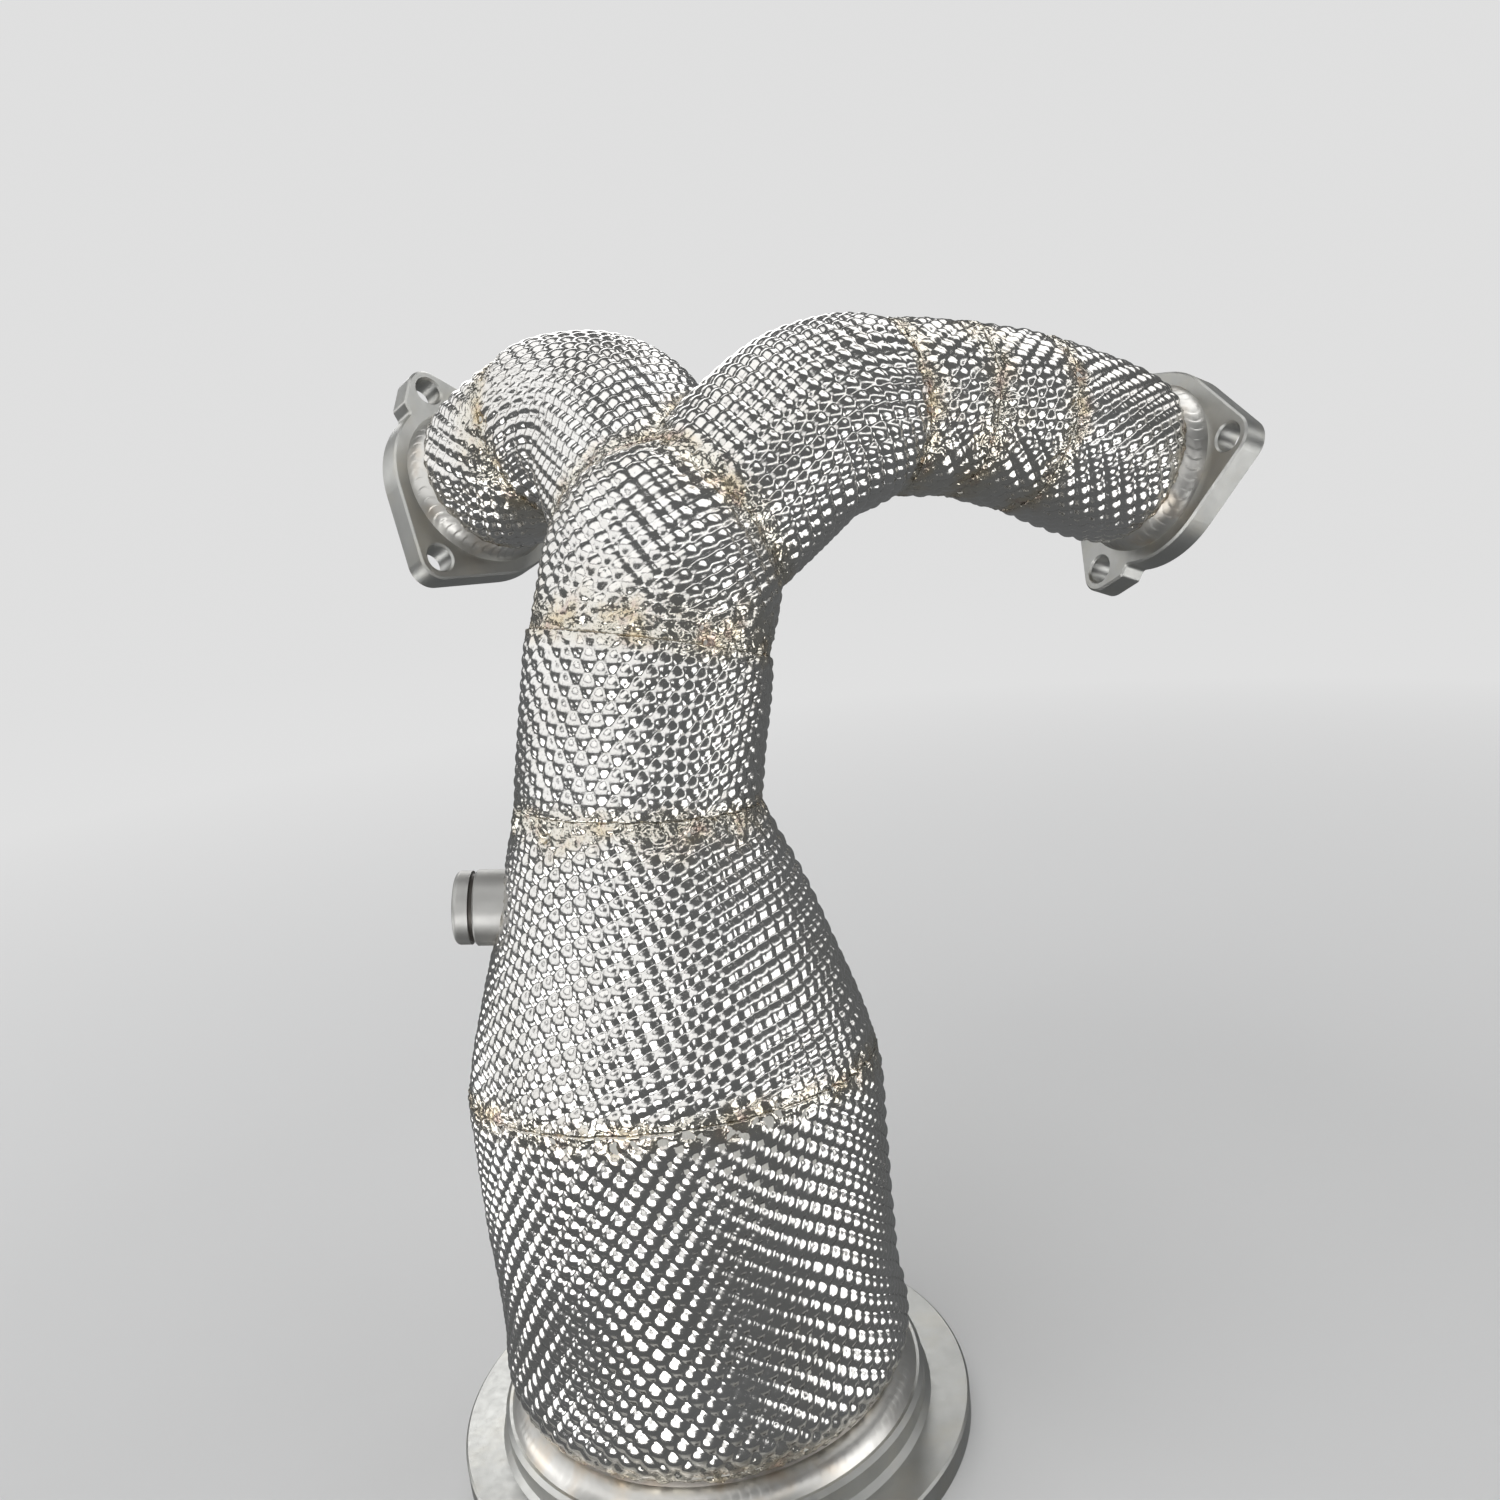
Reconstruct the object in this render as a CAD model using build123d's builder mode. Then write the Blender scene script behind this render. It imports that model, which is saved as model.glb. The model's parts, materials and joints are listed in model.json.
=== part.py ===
from build123d import *
from math import cos, radians, sin, tan
import os

# Two-into-one exhaust manifold with a catalyst can, wrapped in an embossed foil heat shield.
# Frame: origin at the centre of the outlet flange's sealing face, +Z up the catalyst axis,
# +X towards the long (right) branch, +Y towards the engine. Millimetres and degrees.

# ---- Driving dimensions ----
SKIN = 0.8                  # heat-shield foil, over its embossing
TUBE_WALL = 1.5

FLANGE_RADIUS = 94.0        # outlet flange
FLANGE_THICK = 9.0
HUB_RADIUS = 78.0
HUB_TOP = 19.0
CAN_RADIUS = 68.5           # catalyst can
CAN_SHIELD_RADIUS = 71.8
CAN_SHIELD_START = 27.0
CAN_SEAM_HEIGHT = 144.5
CAN_SEAM_TILT = 8.0
OUTLET_WELD_LEG = 7.0

SUBSTRATE_RADIUS = 63.5     # catalyst brick and the mat that grips it
SUBSTRATE_START = 26.0
SUBSTRATE_LENGTH = 100.0
MAT_INSET = 5.0

TRUNK_RADIUS = 38.1         # 76.2 mm tube
TRUNK_SHIELD_RADIUS = 41.2
TRUNK_START = Vector(-0.4, 0, 240)
TRUNK_END = Vector(9.6, 11, 291)
TRUNK_BEND_RADIUS = 60.0
DOME_SHIELD_RADIUS = 40.5
BRANCH_START = 6.0          # how far past the dome's centre a branch begins

BRANCH_RADIUS = 30.0        # 60 mm tubes from the two inlets
ROOT_SHIELD_RADIUS = 35.0
WAIST_SHIELD_RADIUS = 31.6  # where the right branch's short ring sections are
NECK_SHIELD_RADIUS = 33.7

RIGHT_BEND_RADIUS = 50.0
RIGHT_LEAD = 60.5           # straight run out of the collector
RIGHT_TAIL = 20.0           # straight run after the bend, up to the first ring section
RING_LENGTHS = (30.0, 33.0)
RIGHT_NECK = 64.0
LEFT_BEND_RADIUS = 48.0
LEFT_LEAD = 60.6
LEFT_TAIL = 6.0
LEFT_NECK = 46.5

INLET_FLANGE_THICK = 10.0
INLET_BOLT_CIRCLE = 88.0
INLET_HOLE_RADIUS = 5.5
INLET_BODY_RADIUS = 40.0
INLET_EAR_RADIUS = 9.2
INLET_STEP_OFFSET = 14.4    # from the stepped ear's middle line to its straight side
INLET_STEP_FILLET = 2.0
INLET_EDGE_CHAMFER = 0.8
RIGHT_EAR = 284.5           # angle of the stepped ear about the flange's axis
LEFT_EAR = 81.0
INLET_WELD_RUN = 8.0        # weld leg along the tube
INLET_WELD_RISE = 4.5       # weld leg up the flange face
LIP = 4.0                   # crimped end of a shield

BOSS_RADIUS = 13.0          # sensor boss, M18 x 1.5 thread
BOSS_LENGTH = 16.0
THREAD_RADIUS = 9.0
THREAD_CLEARANCE = 0.05
WASHER_RADIUS = 11.6
WASHER_THICK = 1.5
PLUG_HEAD_RADIUS = 12.6
PLUG_HEAD_HEIGHT = 5.4
PLUG_SHANK = 11.0
PLUG_SOCKET_ACROSS_FLATS = 8.0
PLUG_SOCKET_DEPTH = 4.5
BOSS_WELD_LEG = 2.4


def heading(azimuth, elevation):
    """Unit vector from a compass angle about +Z and an angle above the XY plane."""
    level = cos(radians(elevation))
    return Vector(
        level * cos(radians(azimuth)),
        level * sin(radians(azimuth)),
        sin(radians(elevation)),
    )


def midway(first, second):
    """Direction halfway between two unit directions: the normal of a mitre joint."""
    return (first + second).normalized()


def bend_points(start, entry, leave, radius):
    """Middle and end of a circular bend that turns from entry to leave."""
    turn = radians(entry.get_angle(leave))
    inward = (leave - entry * entry.dot(leave)).normalized()
    centre = start + inward * radius

    def at(angle):
        return centre + (entry * sin(angle) - inward * cos(angle)) * radius

    return at(turn / 2), at(turn)


def save(part, name):
    part.label = name
    export_step(part, f"parts/{name}.step")


# ---- Centreline, followed outwards from the outlet ----
up = Vector(0, 0, 1)
trunk_heading = (TRUNK_END - TRUNK_START).normalized()
elbow_entry = Vector(0.26, 0.2, 0.945).normalized()
elbow_leave = heading(70, 45)
elbow_middle, dome_centre = bend_points(
    TRUNK_END, elbow_entry, elbow_leave, TRUNK_BEND_RADIUS
)

right_entry = heading(28.3, 32.3)
right_leave = heading(28.3, 4)
ring_headings = (heading(25, -6), heading(24.5, -15))
right_neck_heading = heading(24.5, -22)
right_bend_start = dome_centre + right_entry * RIGHT_LEAD
right_bend_middle, right_bend_end = bend_points(
    right_bend_start, right_entry, right_leave, RIGHT_BEND_RADIUS
)
ring_1_start = right_bend_end + right_leave * RIGHT_TAIL
ring_2_start = ring_1_start + ring_headings[0] * RING_LENGTHS[0]
right_neck_start = ring_2_start + ring_headings[1] * RING_LENGTHS[1]
right_face = right_neck_start + right_neck_heading * RIGHT_NECK

left_entry = heading(103, 34.5)
left_leave = heading(150, -9)
left_neck_heading = heading(138, -22)
left_bend_start = dome_centre + left_entry * LEFT_LEAD
left_bend_middle, left_bend_end = bend_points(
    left_bend_start, left_entry, left_leave, LEFT_BEND_RADIUS
)
left_neck_start = left_bend_end + left_leave * LEFT_TAIL
left_face = left_neck_start + left_neck_heading * LEFT_NECK

# ---- Joint planes: each is shared by the two sections that meet there ----
side = Vector(1, 0, 0)
right_side = right_leave.cross(up)
left_side = left_entry.cross(left_leave).normalized()

seam_tilt = radians(CAN_SEAM_TILT)
can_seam = Plane((0, 0, CAN_SEAM_HEIGHT), x_dir=side, z_dir=(0, sin(seam_tilt), cos(seam_tilt)))
shoulder = Plane((0.3, 0, 157.5), x_dir=side, z_dir=(0, sin(seam_tilt), cos(seam_tilt)))
mid_cone = Plane((0.9, 0, 197), x_dir=side, z_dir=(0.03, 0.12, 1))
trunk_seam = Plane(TRUNK_START, x_dir=side, z_dir=midway(up, trunk_heading))
elbow_seam = Plane(TRUNK_END, x_dir=side, z_dir=midway(trunk_heading, elbow_entry))
right_bend_exit = Plane(right_bend_end, x_dir=right_side, z_dir=right_leave)
ring_1_seam = Plane(ring_1_start, x_dir=right_side, z_dir=midway(right_leave, ring_headings[0]))
ring_2_seam = Plane(ring_2_start, x_dir=right_side, z_dir=midway(*ring_headings))
right_neck_seam = Plane(
    right_neck_start, x_dir=right_side, z_dir=midway(ring_headings[1], right_neck_heading)
)
left_bend_exit = Plane(left_bend_end, x_dir=left_side, z_dir=left_leave)
left_neck_seam = Plane(
    left_neck_start, x_dir=left_side, z_dir=midway(left_leave, left_neck_heading)
)
right_end = Plane(right_face, x_dir=right_side, z_dir=right_neck_heading)
left_end = Plane(left_face, x_dir=left_side, z_dir=left_neck_heading)

# Inlet flanges sit on planes whose X runs level, so their ear angles share one reference.
right_seat = Plane(right_face, x_dir=up.cross(right_neck_heading), z_dir=right_neck_heading)
left_seat = Plane(left_face, x_dir=up.cross(left_neck_heading), z_dir=left_neck_heading)


# ---- Shared shapes ----
def lofted(stations):
    """Closed solid through circles given as (plane, radius) pairs."""
    with BuildPart() as body:
        for plane, radius in stations:
            with BuildSketch(plane):
                Circle(radius)
        loft(ruled=True)
    return body.part


def lofted_shell(stations, wall):
    """Open-ended tube through circles, with its wall inside the given radii."""
    with BuildPart() as shell:
        add(lofted(stations))
        add(lofted([(plane, radius - wall) for plane, radius in stations]), mode=Mode.SUBTRACT)
    return shell.part


def trunk_elbow_body(radius):
    """Bent trunk that ends in a dome, from which both branches leave."""
    with BuildPart() as body:
        with BuildLine() as route:
            ThreePointArc(TRUNK_END, elbow_middle, dome_centre)
        with BuildSketch(Plane(TRUNK_END, x_dir=side, z_dir=elbow_entry)):
            Circle(radius)
        sweep(path=route.wire())
        with Locations(Plane(dome_centre, z_dir=elbow_leave)):
            Sphere(radius, arc_size1=0, align=None)
    return body.part


def branch_body(entry, bend_start, bend_middle, bend_end, radius):
    """Straight run that starts inside the dome, then the branch's bend."""
    start = dome_centre + entry * BRANCH_START
    with BuildPart() as body:
        with BuildLine() as route:
            Line(start, bend_start)
            ThreePointArc(bend_start, bend_middle, bend_end)
        with BuildSketch(Plane(start, z_dir=entry)):
            Circle(radius)
        sweep(path=route.wire())
    return body.part


def right_elbow_body(root_radius, waist_radius):
    with BuildPart() as body:
        add(branch_body(right_entry, right_bend_start, right_bend_middle, right_bend_end,
                        root_radius))
        add(lofted([(right_bend_exit, root_radius), (ring_1_seam, waist_radius)]))
    return body.part


def left_elbow_body(root_radius, neck_radius):
    with BuildPart() as body:
        add(branch_body(left_entry, left_bend_start, left_bend_middle, left_bend_end,
                        root_radius))
        add(lofted([(left_bend_exit, root_radius), (left_neck_seam, neck_radius)]))
    return body.part


def minus(body, *cuts):
    with BuildPart() as result:
        add(body)
        for cut in cuts:
            add(cut, mode=Mode.SUBTRACT)
    return result.part


os.makedirs("parts", exist_ok=True)

# ---- Outlet flange: flat ring with a raised hub round the can ----
with BuildPart() as outlet_flange:
    with BuildSketch(Plane.XZ):
        with BuildLine():
            Polyline(
                (CAN_RADIUS, 0),
                (FLANGE_RADIUS, 0),
                (FLANGE_RADIUS, FLANGE_THICK),
                (HUB_RADIUS + 2, FLANGE_THICK),
                (HUB_RADIUS, FLANGE_THICK + 2),
                (HUB_RADIUS, HUB_TOP - 1.5),
                (HUB_RADIUS - 1.5, HUB_TOP),
                (CAN_RADIUS, HUB_TOP),
                close=True,
            )
        make_face()
    revolve(axis=Axis.Z)
    rim = outlet_flange.edges().filter_by(GeomType.CIRCLE).sort_by(SortBy.RADIUS)[-2:]
    chamfer(rim.sort_by(Axis.Z)[-1], length=0.8)
save(outlet_flange.part, "outlet_flange")

with BuildPart() as outlet_weld:
    weld_foot = CAN_RADIUS + OUTLET_WELD_LEG
    weld_head = HUB_TOP + OUTLET_WELD_LEG
    with BuildSketch(Plane.XZ):
        with BuildLine():
            Line((CAN_RADIUS, HUB_TOP), (weld_foot, HUB_TOP))
            ThreePointArc(
                (weld_foot, HUB_TOP),
                (CAN_RADIUS + 0.62 * OUTLET_WELD_LEG, HUB_TOP + 0.62 * OUTLET_WELD_LEG),
                (CAN_RADIUS, weld_head),
            )
            Line((CAN_RADIUS, weld_head), (CAN_RADIUS, HUB_TOP))
        make_face()
    revolve(axis=Axis.Z)
save(outlet_weld.part, "outlet_weld")

# ---- Catalyst can, cut off obliquely at its upper end ----
with BuildPart() as catalyst_can:
    with BuildSketch():
        Circle(CAN_RADIUS)
        Circle(CAN_RADIUS - TUBE_WALL, mode=Mode.SUBTRACT)
    extrude(amount=CAN_SEAM_HEIGHT + 20)
    split(bisect_by=can_seam, keep=Keep.BOTTOM)
save(catalyst_can.part, "catalyst_can")

with BuildPart() as catalyst_substrate:
    with BuildSketch(Plane.XY.offset(SUBSTRATE_START)):
        Circle(SUBSTRATE_RADIUS)
    extrude(amount=SUBSTRATE_LENGTH)
save(catalyst_substrate.part, "catalyst_substrate")

with BuildPart() as catalyst_mat:
    with BuildSketch(Plane.XY.offset(SUBSTRATE_START + MAT_INSET)):
        Circle(CAN_RADIUS - TUBE_WALL)
        Circle(SUBSTRATE_RADIUS, mode=Mode.SUBTRACT)
    extrude(amount=SUBSTRATE_LENGTH - 2 * MAT_INSET)
save(catalyst_mat.part, "catalyst_mat")

# ---- Sensor boss axis, square to nothing: it leans up a little from the cone's left side ----
boss_heading = heading(180, 6)
boss_face = Plane((-59.6, -2, 209.5), x_dir=(0, 1, 0), z_dir=boss_heading)


def boss_cylinder(radius, inward, outward):
    """Cylinder on the boss axis, from below to above the boss's outer face."""
    with BuildPart() as body:
        with BuildSketch(boss_face.offset(-inward)):
            Circle(radius)
        extrude(amount=inward + outward)
    return body.part


# ---- Cone from the can to the trunk ----
cone_stations = [
    (can_seam, CAN_RADIUS),
    (shoulder, CAN_RADIUS - 3.6),
    (mid_cone, CAN_RADIUS - 16.6),
    (trunk_seam, TRUNK_RADIUS),
]
cone_shield_stations = [
    (can_seam, CAN_SHIELD_RADIUS - 0.3),
    (shoulder, CAN_SHIELD_RADIUS - 3.5),
    (mid_cone, CAN_SHIELD_RADIUS - 16.6),
    (trunk_seam, TRUNK_SHIELD_RADIUS + 0.2),
]
inner_cone_shield = lofted([(plane, radius - SKIN) for plane, radius in cone_shield_stations])

with BuildPart() as cone:
    add(lofted_shell(cone_stations, TUBE_WALL))
    add(boss_cylinder(BOSS_RADIUS, BOSS_LENGTH, 0), mode=Mode.SUBTRACT)
save(cone.part, "cone")

with BuildPart() as sensor_boss:
    add(boss_cylinder(BOSS_RADIUS, BOSS_LENGTH, 0))
    add(boss_cylinder(THREAD_RADIUS, BOSS_LENGTH, 0), mode=Mode.SUBTRACT)
    outer_edges = sensor_boss.edges().filter_by(GeomType.CIRCLE).sort_by(Axis.X)[:2]
    chamfer(outer_edges.sort_by(SortBy.RADIUS)[-1], length=0.6)
save(sensor_boss.part, "sensor_boss")

with BuildPart() as boss_weld:
    add(boss_cylinder(BOSS_RADIUS + BOSS_WELD_LEG, BOSS_LENGTH - 1, -7))
    add(boss_cylinder(BOSS_RADIUS, BOSS_LENGTH, 0), mode=Mode.SUBTRACT)
    add(lofted(cone_stations), mode=Mode.SUBTRACT)
    add(inner_cone_shield, mode=Mode.INTERSECT)
save(boss_weld.part, "boss_weld")

with BuildPart() as plug_washer:
    with BuildSketch(boss_face):
        Circle(WASHER_RADIUS)
        Circle(THREAD_RADIUS + 0.25, mode=Mode.SUBTRACT)
    extrude(amount=WASHER_THICK)
save(plug_washer.part, "plug_washer")

with BuildPart() as sensor_plug:
    head_face = boss_face.offset(WASHER_THICK)
    with BuildSketch(head_face):
        Circle(PLUG_HEAD_RADIUS)
    extrude(amount=PLUG_HEAD_HEIGHT)
    crown = sensor_plug.edges().filter_by(GeomType.CIRCLE).sort_by(Axis.X)[0]
    fillet(crown, radius=1.8)
    with BuildSketch(head_face):
        Circle(THREAD_RADIUS - THREAD_CLEARANCE)
    extrude(amount=-(PLUG_SHANK + WASHER_THICK))
    with BuildSketch(head_face.offset(PLUG_HEAD_HEIGHT)):
        RegularPolygon(PLUG_SOCKET_ACROSS_FLATS / 2, 6, major_radius=False)
    extrude(amount=-PLUG_SOCKET_DEPTH, mode=Mode.SUBTRACT)
save(sensor_plug.part, "sensor_plug")

# ---- Trunk, dome elbow and the branch elbows that leave it ----
trunk_stations = [(trunk_seam, TRUNK_RADIUS), (elbow_seam, TRUNK_RADIUS)]
save(lofted_shell(trunk_stations, TUBE_WALL), "trunk_tube")

above_elbow_seam = Plane(TRUNK_END, x_dir=side, z_dir=elbow_seam.z_dir)


def keep_above_elbow_seam(body):
    with BuildPart() as result:
        add(body)
        split(bisect_by=above_elbow_seam, keep=Keep.TOP)
    return result.part


def junction_bodies(dome_radius, root_radius, waist_radius, neck_radius):
    """The dome elbow and the two branch elbows, as overlapping solids."""
    return (
        keep_above_elbow_seam(trunk_elbow_body(dome_radius)),
        right_elbow_body(root_radius, waist_radius),
        left_elbow_body(root_radius, neck_radius),
    )


def junction_shells(outer, inner):
    """Each body's own wall, cut where the others pass through it."""
    dome_out, right_out, left_out = outer
    dome_in, right_in, left_in = inner
    return (
        minus(dome_out, dome_in, right_in, left_in),
        minus(right_out, right_in, dome_out, left_in),
        minus(left_out, left_in, dome_out, right_out),
    )


tube_radii = (TRUNK_RADIUS, BRANCH_RADIUS, BRANCH_RADIUS, BRANCH_RADIUS)
shield_radii = (DOME_SHIELD_RADIUS, ROOT_SHIELD_RADIUS, WAIST_SHIELD_RADIUS, NECK_SHIELD_RADIUS)
tube_outer = junction_bodies(*tube_radii)
tube_inner = junction_bodies(*(radius - TUBE_WALL for radius in tube_radii))
shield_outer = junction_bodies(*shield_radii)
shield_inner = junction_bodies(*(radius - SKIN for radius in shield_radii))

tube_names = ("trunk_elbow", "right_elbow_tube", "left_elbow_tube")
for body, name in zip(junction_shells(tube_outer, tube_inner), tube_names):
    save(body, name)

shield_names = ("dome_shield", "right_elbow_shield", "left_elbow_shield")
for body, name in zip(junction_shells(shield_outer, shield_inner), shield_names):
    save(body, name)

with BuildPart() as collector_insulation:
    for body in shield_inner:
        add(body)
    for body in tube_outer:
        add(body, mode=Mode.SUBTRACT)
save(collector_insulation.part, "collector_insulation")

# ---- Ring sections and necks: tubes through the joint planes ----
ring_1_stations = [(ring_1_seam, BRANCH_RADIUS), (ring_2_seam, BRANCH_RADIUS)]
ring_2_stations = [(ring_2_seam, BRANCH_RADIUS), (right_neck_seam, BRANCH_RADIUS)]
right_neck_stations = [(right_neck_seam, BRANCH_RADIUS), (right_end, BRANCH_RADIUS)]
left_neck_stations = [(left_neck_seam, BRANCH_RADIUS), (left_end, BRANCH_RADIUS)]
save(lofted_shell(ring_1_stations, TUBE_WALL), "right_ring_1")
save(lofted_shell(ring_2_stations, TUBE_WALL), "right_ring_2")


def neck_tube(stations, end):
    """Neck that runs on through the flange, to just short of its sealing face."""
    with BuildPart() as neck:
        add(lofted_shell(stations, TUBE_WALL))
        with BuildSketch(end):
            Circle(BRANCH_RADIUS)
            Circle(BRANCH_RADIUS - TUBE_WALL, mode=Mode.SUBTRACT)
        extrude(amount=INLET_FLANGE_THICK - 1.5)
    return neck.part


save(neck_tube(right_neck_stations, right_end), "right_neck_tube")
save(neck_tube(left_neck_stations, left_end), "left_neck_tube")


# ---- Three-hole inlet flanges, alike apart from where their ears point ----
def inlet_flange(seat, stepped_ear):
    """Three ears drawn smoothly into a round body, with a step beside one of them.

    `stepped_ear` is that ear's angle about the flange's axis.
    """
    with BuildPart() as flange:
        with BuildSketch(seat) as outline:
            Circle(INLET_BODY_RADIUS)
            with PolarLocations(INLET_BOLT_CIRCLE / 2, 3, start_angle=stepped_ear):
                Circle(INLET_EAR_RADIUS)
            make_hull()
            with Locations(Location((0, 0, 0), (0, 0, stepped_ear))):
                with Locations((INLET_BODY_RADIUS, -INLET_STEP_OFFSET)) as step:
                    Rectangle(
                        INLET_BODY_RADIUS,
                        INLET_BODY_RADIUS,
                        align=(Align.CENTER, Align.MAX),
                        mode=Mode.SUBTRACT,
                    )
                    step_middle = step.local_locations[0].position
            Circle(INLET_BODY_RADIUS)
            step_corners = outline.vertices().sort_by_distance(step_middle)[:2]
            fillet(step_corners, radius=INLET_STEP_FILLET)
            Circle(BRANCH_RADIUS, mode=Mode.SUBTRACT)
            with PolarLocations(INLET_BOLT_CIRCLE / 2, 3, start_angle=stepped_ear):
                Circle(INLET_HOLE_RADIUS, mode=Mode.SUBTRACT)
        extrude(amount=INLET_FLANGE_THICK)
        near_face = flange.faces().sort_by(Axis(seat.origin, seat.z_dir))[0]
        near_holes = near_face.inner_wires().sort_by(SortBy.LENGTH)[:3]
        near_rims = near_holes.edges() + near_face.outer_wire().edges()
        chamfer(near_rims, length=INLET_EDGE_CHAMFER)
    return flange.part


def inlet_weld(seat):
    """Fillet weld between the neck and the near face of its flange."""
    with BuildPart() as weld:
        with BuildSketch(Plane.XZ):
            with BuildLine():
                Line((BRANCH_RADIUS, 0), (BRANCH_RADIUS + INLET_WELD_RISE, 0))
                ThreePointArc(
                    (BRANCH_RADIUS + INLET_WELD_RISE, 0),
                    (BRANCH_RADIUS + 0.6 * INLET_WELD_RISE, -0.6 * INLET_WELD_RUN),
                    (BRANCH_RADIUS, -INLET_WELD_RUN),
                )
                Line((BRANCH_RADIUS, -INLET_WELD_RUN), (BRANCH_RADIUS, 0))
            make_face()
        revolve(axis=Axis.Z)
    return seat.location * weld.part


for seat, stepped_ear, name in ((right_seat, RIGHT_EAR, "right"), (left_seat, LEFT_EAR, "left")):
    save(inlet_flange(seat, stepped_ear), f"{name}_flange")
    save(inlet_weld(seat), f"{name}_flange_weld")

# ---- Heat-shield skins and the blanket under each ----
can_lip = Plane.XY.offset(CAN_SHIELD_START)
can_body = Plane.XY.offset(CAN_SHIELD_START + LIP)
cone_top = [(can_body, CAN_SHIELD_RADIUS), (can_seam, CAN_SHIELD_RADIUS)]


def crimped_shield(stations, tube_radius, end, end_radius):
    """Skin whose last stretch closes down onto the tube."""
    lip_start = end.offset(-INLET_WELD_RUN - LIP)
    lip_end = end.offset(-INLET_WELD_RUN - 0.3)
    lip_radius = tube_radius + SKIN + 0.3
    with BuildPart() as shield:
        add(lofted_shell([*stations, (lip_start, end_radius)], SKIN))
        add(lofted_shell([(lip_start, end_radius), (lip_end, lip_radius)], SKIN))
    return shield.part


def blanket(stations, tube_radius):
    """Insulation between a skin and the tube inside it, over the same stretch."""
    with BuildPart() as layer:
        add(lofted([(plane, radius - SKIN) for plane, radius in stations]))
        add(lofted([(plane, tube_radius) for plane, radius in stations]), mode=Mode.SUBTRACT)
    return layer.part


with BuildPart() as can_shield:
    with BuildSketch(can_body):
        Circle(CAN_SHIELD_RADIUS)
        Circle(CAN_SHIELD_RADIUS - SKIN, mode=Mode.SUBTRACT)
    extrude(amount=CAN_SEAM_HEIGHT)
    split(bisect_by=can_seam, keep=Keep.BOTTOM)
    lip_radius = CAN_RADIUS + SKIN + 0.3
    add(lofted_shell([(can_lip, lip_radius), (can_body, CAN_SHIELD_RADIUS)], SKIN))
save(can_shield.part, "can_shield")

with BuildPart() as can_insulation:
    with BuildSketch(can_body):
        Circle(CAN_SHIELD_RADIUS - SKIN)
        Circle(CAN_RADIUS, mode=Mode.SUBTRACT)
    extrude(amount=CAN_SEAM_HEIGHT)
    split(bisect_by=can_seam, keep=Keep.BOTTOM)
save(can_insulation.part, "can_insulation")

with BuildPart() as cone_shield:
    add(lofted_shell(cone_shield_stations, SKIN))
    add(boss_cylinder(BOSS_RADIUS + 0.3, BOSS_LENGTH, 10), mode=Mode.SUBTRACT)
save(cone_shield.part, "cone_shield")

with BuildPart() as cone_insulation:
    add(inner_cone_shield)
    add(lofted(cone_stations), mode=Mode.SUBTRACT)
    add(boss_cylinder(BOSS_RADIUS + BOSS_WELD_LEG, BOSS_LENGTH, 10), mode=Mode.SUBTRACT)
save(cone_insulation.part, "cone_insulation")

trunk_shield_stations = [(trunk_seam, TRUNK_SHIELD_RADIUS), (elbow_seam, TRUNK_SHIELD_RADIUS)]
save(lofted_shell(trunk_shield_stations, SKIN), "trunk_shield")
save(blanket(trunk_shield_stations, TRUNK_RADIUS), "trunk_insulation")

ring_1_shield = [(ring_1_seam, WAIST_SHIELD_RADIUS), (ring_2_seam, WAIST_SHIELD_RADIUS + 0.3)]
ring_2_shield = [(ring_2_seam, WAIST_SHIELD_RADIUS + 0.3), (right_neck_seam, NECK_SHIELD_RADIUS)]
right_neck_shield = [(right_neck_seam, NECK_SHIELD_RADIUS)]
left_neck_shield = [(left_neck_seam, NECK_SHIELD_RADIUS)]
save(lofted_shell(ring_1_shield, SKIN), "right_ring_1_shield")
save(lofted_shell(ring_2_shield, SKIN), "right_ring_2_shield")
for stations, end, name in (
    (right_neck_shield, right_end, "right"),
    (left_neck_shield, left_end, "left"),
):
    save(crimped_shield(stations, BRANCH_RADIUS, end, NECK_SHIELD_RADIUS), f"{name}_neck_shield")
    covered = [*stations, (end.offset(-INLET_WELD_RUN - LIP), NECK_SHIELD_RADIUS)]
    save(blanket(covered, BRANCH_RADIUS), f"{name}_neck_insulation")
save(blanket([*ring_1_shield, ring_2_shield[-1]], BRANCH_RADIUS), "right_ring_insulation")
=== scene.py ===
import json
import math

import bpy
import numpy as np
from mathutils import Matrix, Vector


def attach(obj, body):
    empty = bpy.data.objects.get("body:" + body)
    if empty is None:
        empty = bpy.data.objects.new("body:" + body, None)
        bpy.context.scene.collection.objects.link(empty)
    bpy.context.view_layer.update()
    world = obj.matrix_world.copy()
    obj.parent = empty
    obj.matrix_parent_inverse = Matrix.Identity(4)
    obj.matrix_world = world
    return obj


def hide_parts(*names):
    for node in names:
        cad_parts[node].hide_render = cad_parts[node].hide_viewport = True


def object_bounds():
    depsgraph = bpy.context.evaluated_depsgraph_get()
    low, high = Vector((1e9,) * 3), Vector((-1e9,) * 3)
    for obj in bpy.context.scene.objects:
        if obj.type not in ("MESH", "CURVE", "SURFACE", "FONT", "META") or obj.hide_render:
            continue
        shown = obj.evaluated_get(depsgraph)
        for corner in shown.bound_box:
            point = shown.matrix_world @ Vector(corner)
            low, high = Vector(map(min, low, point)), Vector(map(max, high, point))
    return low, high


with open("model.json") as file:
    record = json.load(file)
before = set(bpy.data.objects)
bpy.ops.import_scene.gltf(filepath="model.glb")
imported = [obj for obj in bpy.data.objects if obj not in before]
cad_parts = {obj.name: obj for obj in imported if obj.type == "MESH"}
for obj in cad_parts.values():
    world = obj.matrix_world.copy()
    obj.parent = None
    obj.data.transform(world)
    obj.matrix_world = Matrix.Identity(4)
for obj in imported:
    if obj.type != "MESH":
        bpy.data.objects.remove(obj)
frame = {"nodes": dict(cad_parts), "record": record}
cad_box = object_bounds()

MM = 0.001

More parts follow.
